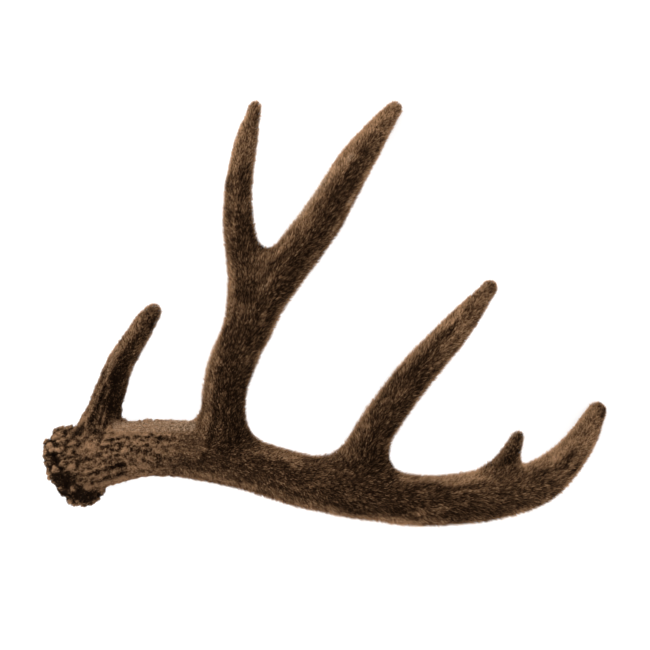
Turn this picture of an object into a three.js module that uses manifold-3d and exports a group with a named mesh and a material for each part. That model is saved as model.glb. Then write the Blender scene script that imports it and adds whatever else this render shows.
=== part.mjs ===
// A deer antler in velvet, one side of a pair, lying on its side as it would on a table.
//
// Millimetres, +Z up. +X runs along the main beam from the burr to the beam's tip, and the tines point
// towards +Y. The antler arches over the surface: it rests on the rim of the burr, on the tip of the main
// beam and on the tip of the second tine's front prong. The origin is on the surface, under the middle of
// the whole antler.
//
// Each limb is a round tube of changing radius along a curved axis. Near a fork the limbs run into each
// other over a smooth web, as grown limbs do. The grown body is then parted at its five forks by Y-shaped
// saw cuts, so that each length of beam and each tine is a piece of its own. The outside of the solids is
// where the tips of the velvet's hairs are.
import * as THREE from "three";
import { mergeVertices } from "three/addons/utils/BufferGeometryUtils.js";
import Module from "manifold-3d";

// ---- Driving dimensions ----

// The limbs: how many sides each has round its axis, the sizes of the smooth webs behind it and ahead of
// it where it leaves the limb that carries it, and its stations from root to tip. A station is the axis
// point x, y, z and the limb's radius there. Behind is the burr's side, ahead the side of the beam's tip.
const LIMBS = {
  beam: {
    sides: 18,
    webs: { behind: 0, ahead: 0 },
    stations: [
      [-211, -117.5, 32, 24],
      [-200, -114, 38, 25.5],
      [-185, -109, 46, 24],
      [-166, -104, 53, 23],
      [-144, -100.5, 61, 22.6],
      [-115, -101, 71, 22.8],
      [-81, -106.9, 81, 20.9],
      [-47, -116.3, 88, 20.1],
      [-21, -124, 92, 20.5],
      [7, -130, 94, 20.2],
      [37, -134.5, 94, 20.4],
      [67, -140, 91, 20],
      [92, -141, 86, 19.5],
      [121, -139, 78, 20],
      [151, -135.5, 66, 19],
      [178, -128, 52, 17.2],
      [201.3, -111.5, 35, 14.2],
      [216.7, -93.8, 22.7, 11.5],
      [226.8, -78.3, 12.4, 9.3],
      [231, -72, 8.6, 7.6],
    ],
  },
  browTine: {
    sides: 14,
    webs: { behind: 31, ahead: 6 },
    stations: [
      [-186, -100, 45, 10],
      [-184, -83, 47, 14.5],
      [-181.6, -66, 49, 13.8],
      [-175.3, -47, 52, 12.5],
      [-168.8, -31, 54, 11.2],
      [-156, -10, 56, 9.8],
      [-147, 5, 57, 8.8],
      [-141, 12, 57, 6.8],
    ],
  },
  secondTine: {
    sides: 16,
    webs: { behind: 22, ahead: 19 },
    stations: [
      [-75, -105, 81, 11],
      [-81.6, -81, 85, 17.4],
      [-81.3, -52, 86, 17.2],
      [-74.6, -27.6, 84, 18.2],
      [-63.7, -4.3, 80, 17.5],
      [-50.4, 21.6, 74, 17.8],
      [-34.5, 45, 67, 17.8],
      [-20, 64, 60, 17.2],
      [-5, 85, 51, 16.8],
      [10, 110, 41, 15.4],
      [23, 134, 31, 14.5],
      [36, 153, 22, 12.4],
      [49, 172, 13, 9.2],
      [59, 184.5, 7.8, 6.8],
    ],
  },
  rearProng: {
    sides: 14,
    webs: { behind: 8, ahead: 22 },
    stations: [
      [-67.5, 0, 79, 12.2],
      [-66, 20, 77, 13.4],
      [-65, 40, 74, 14],
      [-68, 61, 71, 13.2],
      [-71, 81, 68, 12.4],
      [-72, 102, 65, 11.4],
      [-70, 123, 62, 10.6],
      [-67, 143, 58, 9.8],
      [-63, 162, 54, 8.2],
      [-58.5, 180.5, 49, 6],
    ],
  },
  thirdTine: {
    sides: 14,
    webs: { behind: 36, ahead: 26 },
    stations: [
      [29, -121, 94, 10],
      [33, -100, 95, 15.5],
      [41, -82, 93, 15],
      [51.2, -67.2, 90, 14.7],
      [66.7, -46.7, 85, 14.3],
      [81.3, -29.3, 79, 13.9],
      [96.9, -13, 72, 12.9],
      [112, 4, 64, 11.4],
      [125, 19, 56, 8.8],
      [136, 32, 50, 6.3],
    ],
  },
  fourthTine: {
    sides: 12,
    webs: { behind: 28, ahead: 12 },
    stations: [
      [147, -122, 68, 9],
      [150.5, -106, 72, 8.6],
      [154.3, -95, 75, 6.3],
      [156.6, -89.6, 76, 4.6],
    ],
  },
};

// The burr is a knobbly collar round the foot of the beam. Its profile runs outwards from the axis: how
// far along the axis and how far out.
const BURR_CENTRE = [-211.8, -118.8, 32.35];
const BURR_AXIS = [0.81, 0.38, 0.45];
const BURR_PROFILE = [
  [-8, 0],
  [-8, 20.5],
  [-5, 21.5],
  [-4.5, 29.5],
  [-1, 34],
  [6.5, 34.2],
  [12.5, 31],
  [19, 25],
  [19, 0],
];
const BURR_SIDES = 39;
const BURR_KNOBS = 13;
const BURR_KNOB_HEIGHT = 1.6;

// The forks: where the axes meet, and a point along each of the three limbs that leave.
const FORKS = [
  { centre: [-181, -106, 48], arms: [[-211, -118, 33], [-144, -101, 61], [-174, -47, 52]] },
  { centre: [-79, -108, 82], arms: [[-115, -102, 71], [-47, -117, 88], [-80, -52, 86]] },
  { centre: [33, -132, 94], arms: [[-21, -124, 92], [67, -140, 91], [47, -80, 91]] },
  { centre: [148, -120, 68], arms: [[112, -136, 80], [183, -112, 52], [156, -88, 76]] },
  { centre: [-56, 32, 74], arms: [[-70, -16, 82], [-20, 64, 60], [-72, 92, 67]] },
];

// The saw cuts: how wide they are, how far they reach from the fork's centre and how tall they are.
const SAW_GAP = 0.3;
const SAW_REACH = 48;
const SAW_HEIGHT = 90;

// The pieces, each with a point near its middle.
const PIECES = {
  burr: [-205, -115, 35],
  brow_tine: [-165, -40, 54],
  lower_beam: [-130, -103, 66],
  second_tine_stem: [-74, -30, 82],
  rear_prong: [-68, 110, 64],
  front_prong: [5, 110, 40],
  middle_beam: [-25, -122, 91],
  third_tine: [85, -40, 75],
  upper_beam: [90, -136, 84],
  fourth_tine: [152, -104, 72],
  beam_tip: [195, -105, 38],
};

// The rings that a limb is made of: the step along its axis, how many steps lie between two rings near a
// fork and elsewhere, how near a fork that is, and the angles of the rings that round off the tip.
const AXIS_STEP = 2.5;
const FORK_STRIDE = 3;
const FREE_STRIDE = 5;
const FORK_REACH = 40;
const CAP_ANGLES = [0, 0.42, 0.84, 1.22];

// How finely the axes are sampled, how closely the rings find the blended body's surface, and how far a
// limb's rings run on into the next limb past the border between the two.
const AXIS_STEPS_PER_STATION = 4;
const SURFACE_TOLERANCE = 0.02;
const MOST_STEPS = 40;
const BORDER_OVERLAP = 10;

const VELVET = new THREE.MeshStandardMaterial({ color: 0x4a3526, roughness: 0.95, metalness: 0 });

// ---- The limbs' axes ----

const vector = (p) => new THREE.Vector3(p[0], p[1], p[2]);

// A limb with its axis as a curve, its radius as a second curve, and both sampled for distances.
function growAxis(limb) {
  const last = limb.stations.length - 1;
  const axis = new THREE.CatmullRomCurve3(limb.stations.map(vector));
  const radii = new THREE.SplineCurve(limb.stations.map((s, i) => new THREE.Vector2(i, s[3])));
  const steps = last * AXIS_STEPS_PER_STATION;
  const samples = Array.from({ length: steps + 1 }, (_, i) => ({
    point: axis.getPoint(i / steps),
    radius: radii.getPoint(i / steps).y,
  }));
  return { ...limb, axis, radii, samples };
}

const limbs = Object.fromEntries(Object.entries(LIMBS).map(([name, limb]) => [name, growAxis(limb)]));

// ---- The blended body ----

const along = new THREE.Vector3();
const foot = new THREE.Vector3();

// How far a point is from the limb's surface, and the way to it from the limb's axis.
function toLimb(limb, point) {
  let nearest = Infinity;
  let radius = 0;
  const way = new THREE.Vector3();
  for (let i = 1; i < limb.samples.length; i++) {
    const a = limb.samples[i - 1];
    const b = limb.samples[i];
    along.subVectors(b.point, a.point);
    foot.subVectors(point, a.point);
    const share = Math.min(1, Math.max(0, foot.dot(along) / along.lengthSq()));
    foot.addScaledVector(along, -share);
    if (foot.length() < nearest) {
      nearest = foot.length();
      radius = a.radius + share * (b.radius - a.radius);
      way.copy(foot);
    }
  }
  return { distance: nearest - radius, way: way.divideScalar(Math.max(nearest, 1e-6)) };
}

// The web's size where a tine is reached from this side. It is largest in the antler's plane and fades
// out above and below, and it differs between the side of the burr and the side of the beam's tip.
function webSize({ webs }, way) {
  const ahead = (1 + way.x) / 2;
  const flat = 1 - way.z * way.z;
  return Math.max(1, flat * (webs.behind + ahead * (webs.ahead - webs.behind)));
}

function smoothMinimum(a, b, size) {
  const overlap = Math.max(size - Math.abs(a - b), 0) / size;
  return Math.min(a, b) - (overlap * overlap * size) / 4;
}

// The distance to the whole grown body, and how much nearer another limb is than the one asked about.
function toBody(point, asked) {
  let body = Infinity;
  let own = 0;
  let other = Infinity;
  for (const limb of Object.values(limbs)) {
    const { distance, way } = toLimb(limb, point);
    body = body === Infinity ? distance : smoothMinimum(body, distance, webSize(limb, way));
    if (limb === asked) own = distance;
    else other = Math.min(other, distance);
  }
  return { distance: body, trespass: own - other };
}

// How far a limb's skin is from an axis point in one direction: out to the surface of the whole body, or
// to a little way past the border with the next limb, whichever comes first.
function skinRadius(limb, centre, direction) {
  const point = new THREE.Vector3();
  let radius = 0;
  for (let step = 0; step < MOST_STEPS; step++) {
    point.copy(centre).addScaledVector(direction, radius);
    const { distance, trespass } = toBody(point, limb);
    const move = Math.min(-distance, (BORDER_OVERLAP - trespass) / 2);
    radius += move;
    if (Math.abs(move) < SURFACE_TOLERANCE) break;
  }
  return Math.max(radius, 1);
}

// ---- Meshes ----

// The rings of a limb, each with its centre and the two directions across the limb. They stand close
// together near a fork and further apart between forks. The last ones round off the limb's tip.
function ringsOf(limb) {
  const count = Math.round(limb.axis.getLength() / AXIS_STEP);
  const frames = limb.axis.computeFrenetFrames(count, false);
  const rings = [];
  for (let i = 0; i < count; ) {
    const centre = limb.axis.getPointAt(i / count);
    const nearFork = FORKS.some((fork) => vector(fork.centre).distanceTo(centre) < FORK_REACH);
    rings.push({ centre, across: frames.normals[i], over: frames.binormals[i] });
    i += nearFork ? FORK_STRIDE : FREE_STRIDE;
  }
  const end = limb.axis.getPoint(1);
  const endRadius = limb.radii.getPoint(1).y;
  const tangent = frames.tangents[count];
  for (const angle of CAP_ANGLES) {
    const centre = end.clone().addScaledVector(tangent, endRadius * Math.sin(angle));
    rings.push({ centre, across: frames.normals[count], over: frames.binormals[count] });
  }
  return { rings, tip: end.addScaledVector(tangent, endRadius) };
}

function limbGeometry(limb) {
  const { rings, tip } = ringsOf(limb);
  const points = [];
  for (const { centre, across, over } of rings) {
    for (let j = 0; j < limb.sides; j++) {
      const angle = (2 * Math.PI * j) / limb.sides;
      const direction = across.clone().multiplyScalar(Math.cos(angle));
      direction.addScaledVector(over, Math.sin(angle));
      points.push(centre.clone().addScaledVector(direction, skinRadius(limb, centre, direction)));
    }
  }
  points.push(rings[0].centre, tip);
  const faces = [];
  for (let j = 0; j < limb.sides; j++) {
    const next = (j + 1) % limb.sides;
    for (let i = 0; i + 1 < rings.length; i++) {
      const [a, b] = [i * limb.sides + j, i * limb.sides + next];
      faces.push(a, b, b + limb.sides, a, b + limb.sides, a + limb.sides);
    }
    const lastRing = (rings.length - 1) * limb.sides;
    faces.push(points.length - 2, next, j, points.length - 1, lastRing + j, lastRing + next);
  }
  return new THREE.BufferGeometry().setFromPoints(points).setIndex(faces);
}

// The collar of the burr, turned about its axis and then knobbled all round its rim.
function burrGeometry() {
  const profile = BURR_PROFILE.map(([height, radius]) => new THREE.Vector2(radius, height));
  const geometry = new THREE.LatheGeometry(profile, BURR_SIDES);
  const place = geometry.getAttribute("position");
  const widest = Math.max(...BURR_PROFILE.map((p) => p[1]));
  for (let i = 0; i < place.count; i++) {
    const [x, z] = [place.getX(i), place.getZ(i)];
    const rimShare = (Math.hypot(x, z) / widest) ** 4;
    const knob = BURR_KNOB_HEIGHT * Math.cos(BURR_KNOBS * Math.atan2(z, x)) * rimShare;
    const swell = 1 + knob / widest;
    place.setXYZ(i, x * swell, place.getY(i), z * swell);
  }
  const turn = new THREE.Quaternion().setFromUnitVectors(
    new THREE.Vector3(0, 1, 0),
    vector(BURR_AXIS).normalize(),
  );
  return geometry.applyQuaternion(turn).translate(...BURR_CENTRE);
}

// ---- Joining and parting ----

const wasm = await Module();
wasm.setup();

function solidOf(geometry) {
  const bare = geometry.clone();
  bare.deleteAttribute("normal");
  bare.deleteAttribute("uv");
  const merged = mergeVertices(bare, 1e-3);
  return new wasm.Manifold(
    new wasm.Mesh({
      numProp: 3,
      vertProperties: merged.getAttribute("position").array,
      triVerts: new Uint32Array(merged.index.array),
    }),
  );
}

function geometryOf(solid) {
  const { vertProperties, triVerts } = solid.getMesh();
  return new THREE.BufferGeometry()
    .setAttribute("position", new THREE.BufferAttribute(vertProperties, 3))
    .setIndex(new THREE.BufferAttribute(triVerts, 1))
    .toNonIndexed();
}

// One blade of a fork's saw cut: from the fork's centre outwards, halfway between two of its arms.
function bladeSolid(centre, first, second, across) {
  let outwards = first.clone().add(second);
  if (outwards.length() < 0.2) outwards = across.clone().cross(first);
  outwards.normalize();
  const side = across.clone().cross(outwards);
  const blade = new THREE.BoxGeometry(SAW_REACH, SAW_GAP, SAW_HEIGHT);
  blade.translate(SAW_REACH / 2 - SAW_GAP, 0, 0);
  blade.applyMatrix4(new THREE.Matrix4().makeBasis(outwards, side, across).setPosition(centre));
  return solidOf(blade);
}

function forkCuts({ centre, arms }) {
  const from = vector(centre);
  const ways = arms.map((arm) => vector(arm).sub(from).normalize());
  const across = ways[1].clone().cross(ways[2]).normalize();
  return [[0, 1], [1, 2], [2, 0]].map(([i, j]) => bladeSolid(from, ways[i], ways[j], across));
}

let body = solidOf(burrGeometry());
for (const limb of Object.values(limbs)) body = body.add(solidOf(limbGeometry(limb)));
for (const blade of FORKS.flatMap(forkCuts)) body = body.subtract(blade);

// ---- The antler ----

const antler = new THREE.Group();
const names = Object.keys(PIECES);
for (const piece of body.decompose()) {
  const geometry = geometryOf(piece);
  geometry.computeBoundingBox();
  geometry.computeVertexNormals();
  const middle = geometry.boundingBox.getCenter(new THREE.Vector3());
  const away = (name) => vector(PIECES[name]).distanceTo(middle);
  const mesh = new THREE.Mesh(geometry, VELVET);
  mesh.name = names.reduce((best, name) => (away(name) < away(best) ? name : best));
  antler.add(mesh);
}

const bounds = new THREE.Box3().setFromObject(antler);
const centre = bounds.getCenter(new THREE.Vector3());
antler.position.set(-centre.x, -centre.y, -bounds.min.z);

export default antler;
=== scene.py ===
"""A deer antler in velvet, lying on its side: its hide and hair, the sawn seat and a stage.

The hide is one closed skin over the whole antler. Every place on it knows which way the antler
grows there, how gnarled it is, and how long and how light its hair is. The hair stands on the hide
as small bent blades, one coat for each length of beam and each tine.
"""

import contextlib
import itertools
import math

import bmesh
import bpy
import numpy as np
from bpy.props import FloatProperty, FloatVectorProperty, IntProperty, PointerProperty
from bpy.types import Operator, Panel, PropertyGroup
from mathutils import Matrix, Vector
from mathutils.bvhtree import BVHTree


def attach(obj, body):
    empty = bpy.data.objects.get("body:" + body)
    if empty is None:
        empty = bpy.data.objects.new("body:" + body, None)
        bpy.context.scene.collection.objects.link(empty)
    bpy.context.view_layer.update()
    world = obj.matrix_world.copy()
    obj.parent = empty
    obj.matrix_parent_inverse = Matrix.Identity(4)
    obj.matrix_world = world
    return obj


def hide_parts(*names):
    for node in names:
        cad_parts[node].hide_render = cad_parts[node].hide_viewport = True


bl_info = {
    "name": "Antler in Velvet",
    "version": (1, 0, 0),
    "blender": (4, 5, 0),
    "location": "View3D > Sidebar > Antler",
    "description": "Grows a velvet hide and its hair on an antler and sets it on a pale stage",
    "category": "Object",
}

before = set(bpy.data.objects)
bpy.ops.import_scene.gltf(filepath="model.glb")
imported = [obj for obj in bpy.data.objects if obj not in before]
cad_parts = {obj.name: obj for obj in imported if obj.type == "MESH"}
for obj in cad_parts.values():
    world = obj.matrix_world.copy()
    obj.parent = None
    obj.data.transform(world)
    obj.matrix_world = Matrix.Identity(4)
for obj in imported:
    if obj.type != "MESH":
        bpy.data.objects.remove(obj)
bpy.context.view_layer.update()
NODES = sorted(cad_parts)

MM = 0.001

# The size of the random fields' table, and the numbers that scramble a place into it.
TABLE_SIZE = 4096
SCRAMBLERS = np.array((73856093, 19349663, 83492791))

# How far each step of smoothing goes, and how far the next one goes back to keep the size.
EVEN_STEP = 0.5
EVEN_BACK = -0.505

# The limbs' axes, in millimetres: x, y, z and the radius at each station, from root to tip. Each
# tine names the limb that carries it.
LIMB_SHIFT = (-2.74, -15.37, -1.01)
LIMBS = {
    "beam": (None, [
        (-219, -122, 27.5, 22), (-211, -117.5, 32, 24), (-200, -114, 38, 25.5),
        (-185, -109, 46, 24), (-166, -104, 53, 23), (-144, -100.5, 61, 22.6),
        (-115, -101, 71, 22.8), (-81, -106.9, 81, 20.9), (-47, -116.3, 88, 20.1),
        (-21, -124, 92, 20.5), (7, -130, 94, 20.2), (37, -134.5, 94, 20.4), (67, -140, 91, 20),
        (92, -141, 86, 19.5), (121, -139, 78, 20), (151, -135.5, 66, 19), (178, -128, 52, 17.2),
        (201.3, -111.5, 35, 14.2), (216.7, -93.8, 22.7, 11.5), (226.8, -78.3, 12.4, 9.3),
        (231, -72, 8.6, 7.6),
    ]),
    "brow_tine": ("beam", [
        (-186, -100, 45, 10), (-184, -83, 47, 14.5), (-181.6, -66, 49, 13.8),
        (-175.3, -47, 52, 12.5), (-168.8, -31, 54, 11.2), (-156, -10, 56, 9.8),
        (-147, 5, 57, 8.8), (-141, 12, 57, 6.8),
    ]),
    "second_tine": ("beam", [
        (-75, -105, 81, 11), (-81.6, -81, 85, 17.4), (-81.3, -52, 86, 17.2),
        (-74.6, -27.6, 84, 18.2), (-63.7, -4.3, 80, 17.5), (-50.4, 21.6, 74, 17.8),
        (-34.5, 45, 67, 17.8), (-20, 64, 60, 17.2), (-5, 85, 51, 16.8), (10, 110, 41, 15.4),
        (23, 134, 31, 14.5), (36, 153, 22, 12.4), (49, 172, 13, 9.2), (59, 184.5, 7.8, 6.8),
    ]),
    "rear_prong": ("second_tine", [
        (-67.5, 0, 79, 12.2), (-66, 20, 77, 13.4), (-65, 40, 74, 14), (-68, 61, 71, 13.2),
        (-71, 81, 68, 12.4), (-72, 102, 65, 11.4), (-70, 123, 62, 10.6), (-67, 143, 58, 9.8),
        (-63, 162, 54, 8.2), (-58.5, 180.5, 49, 6),
    ]),
    "third_tine": ("beam", [
        (29, -121, 94, 10), (33, -100, 95, 15.5), (41, -82, 93, 15), (51.2, -67.2, 90, 14.7),
        (66.7, -46.7, 85, 14.3), (81.3, -29.3, 79, 13.9), (96.9, -13, 72, 12.9),
        (112, 4, 64, 11.4), (125, 19, 56, 8.8), (136, 32, 50, 6.3),
    ]),
    "fourth_tine": ("beam", [
        (147, -122, 68, 9), (150.5, -106, 72, 8.6), (154.3, -95, 75, 6.3),
        (156.6, -89.6, 76, 4.6),
    ]),
}

# In metres: how a limb's pull on the growth fades beside it and where that ends, and how far from
# a limb's end its tip begins and is full.
LIMB_FADE = 0.0045
LIMB_PULL = (-0.004, 0.1)
TIP_BEGINS = 0.120
TIP_FULL = 0.015

# How far from the burr the gnarls are full, calmer and gone, in metres.
FOOT_END = 0.085
BROW_CALM = 0.138
BEAM_CALM = 0.15
BEAM_SMOOTH = 0.30

# How far from the burr the hide's grid is finer, in metres.
FINE_BEAM = 0.125
FINE_BROW = 0.16

# The burr's middle, the way that the foot of the beam points, and the sawn seat, in metres.
BURR_CENTRE = np.array((-214.54, -134.17, 31.34)) * MM
FOOT_WAY = np.array((0.81, 0.38, 0.45)) / np.linalg.norm((0.81, 0.38, 0.45))
SEAT_DEPTH = 8 * MM
SEAT_RADIUS = 20 * MM

# The ways that the upper side with its painted shade and the edges with the most painted rim light
# face; the second is towards the strongest lamp.
PAINTED_SHADE_WAY = np.array((0.33, -0.06, 0.94))
PAINTED_RIM_LIGHT_WAY = np.array((-0.8, 0.6, 0.0))

# The coats of hair, brown to pale: the colours of the darkest and lightest strands of each. The
# paler coats paint light: they grow only where the coat is painted pale, as rim light and
# highlights.
COATS = [
    ((0.0215, 0.0092, 0.0036), (0.65, 0.375, 0.198)),
    ((0.0215, 0.0092, 0.0036), (0.69, 0.412, 0.228)),
    ((0.03, 0.014, 0.006), (0.74, 0.475, 0.285)),
    ((0.05, 0.026, 0.012), (0.79, 0.545, 0.35)),
]
HAIR_COATS = float(len(COATS))
HAIR_MAP = "OFBake"

# A strand one unit long, corner by corner: the place, how far along the strand, and on which side.
BLADE = [
    ((0, 0, 0), 0, 0),
    ((0.5, 0.14, 0.45), 0.45, 1),
    ((-0.5, 0.14, 0.45), 0.45, -1),
    ((0, 0, 1), 1, 0),
]

# The soft lamps round the antler: each one's side, in degrees, and its share of the power.
LAMPS = ((45, 1.0), (135, 2.0), (225, 0.9), (315, 0.5))
LAMP_SIZE = 1.0
LAMP_REACH = 1.3
LAMP_RISE = 0.3

# Where the camera stands over the floor.
CAMERA_SPOT = (-0.0032, -0.0148)

# Strokes on the upper side, in millimetres: two ends (x, y), half the width, how high the stroke
# stands, and how much lighter its hair is. Most of the lightness is painted light and shade: rim
# light on edges, highlights on knobs and crests, and shade in gaps and down the middles of limbs.
STROKES = [
    # The brow tine: its dark side in painted shade, its ridge and its light edges in painted rim
    # light.
    (-178, -84, -174, -62, 5.4, -2, -0.42), (-174, -62, -168, -45, 5, -1.2, -0.36),
    (-168, -45, -160, -28, 4.2, -0.4, -0.18), (-170, -88, -163, -55, 1.6, 0.3, 0.26),
    (-186, -62, -174, -34, 2.8, 0.1, 0.42), (-161, -47, -168, -84, 1.5, 0.2, 0.36),
    (-160, -44, -148, -12, 3.4, 0, -0.2), (-146, -5, -141, 3, 6, 0, -0.2),
    # The foot: long ridges with a painted highlight, furrows and pits with painted shade, and the
    # pale top edge, a painted highlight.
    (-201, -98, -189, -66, 2, 1.2, 0.12), (-195, -94, -184, -64, 1.6, -1.6, -0.18),
    (-214, -110, -195, -88, 1.8, -1.5, -0.16), (-209, -101, -200, -90, 2.2, 1.4, 0.14),
    (-174, -129, -167, -130, 1.9, -3.4, -0.6), (-195, -145, -163, -134, 1.5, -1.6, -0.16),
    (-198, -138, -176, -130, 1.3, -1.4, -0.12), (-199, -149, -168, -140, 1.8, 1, 0.1),
    (-174, -98, -112, -96, 5.4, 0.8, 0.74), (-157, -104.5, -124, -106, 1.8, -1, -0.26),
    # The burr: deep gaps in painted shade, its pale rim in painted rim light and its lightest
    # pearls, pale bone with a painted highlight.
    (-226, -121, -224, -126, 2.6, -2.4, -0.5), (-219, -139, -214, -149, 2, -2.2, -0.4),
    (-234, -130, -226, -150, 2.4, 0.6, 0.46), (-205, -153, -192, -158, 3.6, -1.2, -0.52),
    (-213, -112, -210, -111, 1.6, 1, 0.55), (-212, -131, -209, -130, 1.5, 1, 0.55),
    (-228, -117, -224, -116, 1.7, 1, 0.55),
    # Broad patches over the foot and the burr.
    (-160, -114, -108, -118, 15, 0, 0.06), (-166, -118, -146, -122, 9, 0, -0.18),
    (-209, -104, -207, -128, 9, -0.3, -0.26), (-212, -146, -203, -154, 7, -0.2, -0.34),
    (-192, -98, -184, -76, 5.4, -0.5, -0.28),
    # The second tine's stem: ridges and furrows, its light edges in painted rim light and its dark
    # middle in painted shade.
    (-106, -116, -98, -92, 2.6, 1.1, 0.08), (-98, -92, -90, -44, 2.6, 0.9, 0.08),
    (-101, -119, -93, -92, 2, -1.3, -0.12), (-93, -92, -85, -50, 2, -1, -0.1),
    (-102, -111, -97, -110, 2.6, 1.5, 0.12), (-101, -72, -99, -50, 3.4, 0.2, 0.4),
    (-99, -50, -88, -12, 3, 0.2, 0.48), (-60, -50, -30, 9, 1.8, 0.2, 0.48),
    (-76, -74, -72, -104, 6.5, -0.8, -0.25), (-96, -112, -91, -62, 1.5, -0.6, -0.22),
    (-84, -94, -76, -110, 8, -1, -0.22), (-76, 4, -80, -38, 6, -0.4, -0.2),
    (-80, -38, -75, -92, 8, -0.6, -0.2), (-62, -100, -24, -113, 2.2, 0.8, 0.12),
    (-24, -113, 8, -117, 2.2, 0.6, 0.1),
    # The rear prong and the fork.
    (-62, 152, -71, 105, 3.2, -0.3, -0.16), (-71, 105, -68, 48, 5, -0.4, -0.22),
    (-53, 38, -60, 8, 6, 0.3, 0.1), (-49, 34, -53, 10, 4.4, 0.4, 0.16),
    (-35, 38, -57, 9, 1.5, 0.9, 0.2), (-36, 30, -51, 7, 1.4, 0.8, 0.16),
    (-30, 20, -42, -5, 3.4, -0.6, -0.22), (-80, 36, -77, 14, 2, 0.2, 0.28),
    (-77, 14, -81, -14, 2.2, 0.2, 0.28), (-75, 94, -74, 84, 4.6, 0, -0.2),
    (-74, 52, -69, 4, 4.4, -0.2, -0.34), (-58, 0, -62, -14, 6, 0, -0.18),
    (-78, -8, -74, -40, 7, -0.2, -0.14),
    # The front prong: its dark middle in painted shade and its light edges in painted rim light.
    (-24, 30, 4, 82, 7, -0.5, -0.32), (4, 82, 28, 128, 5, -0.4, -0.3),
    (-38, 56, -12, 94, 2.2, 0.2, 0.44), (-12, 94, 10, 124, 2.2, 0.2, 0.38),
    (-24, 74, 18, 123, 4.2, 0.1, 0.35), (18, 123, 40, 146, 4.6, 0.1, 0.24),
    (-30, 14, 17, 86, 2.4, 0, 0.3), (17, 86, 48, 137, 2.4, 0, 0.3),
    (-12, 66, 14, 98, 5, -0.2, -0.18),
    # The third tine.
    (92, -32, 69, -51, 5, -0.4, -0.2), (69, -51, 46, -75, 7, -0.4, -0.24),
    (49, -55, 77, -22, 2.2, 0.2, 0.42), (84, -30, 44, -72, 4.2, -0.2, -0.18),
    (92, -36, 110, -10, 3.5, 0.2, 0.22), (24, -108, 34, -88, 4, 0, -0.16),
    (85, -61, 98, -42, 2, 0.2, 0.42), (24, -104, 33, -118, 2, 0.4, 0.12),
    # The beam, the fourth tine and the tips.
    (8, -145, 58, -152, 8.5, -0.3, -0.3), (-80, -118, 5, -138, 10, 0, -0.1),
    (149, -120, 146, -127, 4.2, -0.5, -0.36), (151, -112, 153, -104, 4.6, 1.6, 0.16),
    (186, -134, 210, -114, 12, 0, 0.07), (222, -92, 229, -85, 8, 0, -0.26),
    (-70, 158, -67, 169, 3.2, -2, 0), (-54, -112, -36, -120, 2, 0.5, 0.28),
    (-20, -130, 40, -142, 9, 0, -0.16), (78, -163, 98, -166, 6, 0, -0.24),
    (72, -138, 116, -138, 4.5, 0.2, 0.34), (112, -158, 160, -152, 6, 0, 0.16),
    (168, -143, 196, -130, 4, 0, -0.12), (140, -172, 196, -149, 3.6, 0.1, 0.28),
    (164, -132, 186, -124, 5, 0.1, 0.26), (-36, -120, -12, -126, 2.4, 0.4, 0.2),
    (-104, -133, -51, -151.5, 1.8, 0.4, 0.26), (-51, -151.5, 3, -163, 1.8, 0.4, 0.22),
    (3, -163, 72, -174, 2.6, 0.3, 0.34), (38, -101, 30, -128, 1.8, -0.9, -0.24),
    (29, -101, 19, -118, 1.8, 0.6, 0.02),
]


# ---- Sizes and colours that a user may change ----


def length_setting(name, description, default):
    kind = {"subtype": "DISTANCE", "unit": "LENGTH"}
    return FloatProperty(name=name, description=description, default=default, **kind)


def colour_setting(name, description, default):
    kind = {"subtype": "COLOR", "size": 3, "min": 0, "max": 1}
    return FloatVectorProperty(name=name, description=description, default=default, **kind)


def number_setting(name, description, default):
    return FloatProperty(name=name, description=description, default=default)


class HideSettings(PropertyGroup):
    grid: length_setting("Grid", "Size of the hide's squares away from the foot", 1.9 * MM)
    close_cuts: length_setting("Close cuts", "How far each piece swells over its cuts", 0.25 * MM)
    relief: number_setting("Relief", "How strong the gnarls of the foot are", 1.0)
    seed: IntProperty(name="Seed", description="Which random gnarls grow", default=4)
    # On the gnarled foot the hide is mixed from dark to light by how high it stands: painted shade
    # in the hollows, a painted highlight on the ridges.
    dark: colour_setting("Dark hide", "The hide under the hair", (0.011, 0.0052, 0.0024))
    light: colour_setting("Light hide", "The hide on the foot's ridges", (0.32, 0.182, 0.098))


class HairSettings(PropertyGroup):
    cover: number_setting("Cover", "Strands on each square millimetre of hide", 4.0)
    width: length_setting("Width", "Width of a strand at its middle", 0.34 * MM)
    tuft: length_setting("Tuft", "Size of the tufts that strands lean together in", 1.3 * MM)
    pull: number_setting("Pull", "How strongly a tuft gathers its strands", 0.55)
    swirl: number_setting("Swirl", "How far the coat's lie wanders", 0.17)
    swirl_size: length_setting("Swirl size", "Size of the swirls in the coat's lie", 9 * MM)
    seed: IntProperty(name="Seed", description="Which random strands grow", default=11)
    root: colour_setting("Root", "The strands at the hide", (0.009, 0.0045, 0.0022))


class StageSettings(PropertyGroup):
    floor: length_setting("Floor", "Radius of the round floor", 4.0)
    camera_height: length_setting("Camera height", "Camera's height over the floor", 1.5406)
    lens: number_setting("Lens", "Focal length in millimetres", 100.0)
    sky: number_setting("Sky", "Strength of the light from all round", 0.65)
    lamps: number_setting("Lamps", "Power of the soft lamps, in watts", 11.5)
    glow: number_setting("Glow", "How much light the pale floor gives off", 0.55)


# ---- Random fields ----


def lattice_spot(cell):
    """The place of each lattice corner in the table of random values."""
    scrambled = cell * SCRAMBLERS
    return (scrambled[..., 0] ^ scrambled[..., 1] ^ scrambled[..., 2]) & (TABLE_SIZE - 1)


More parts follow.
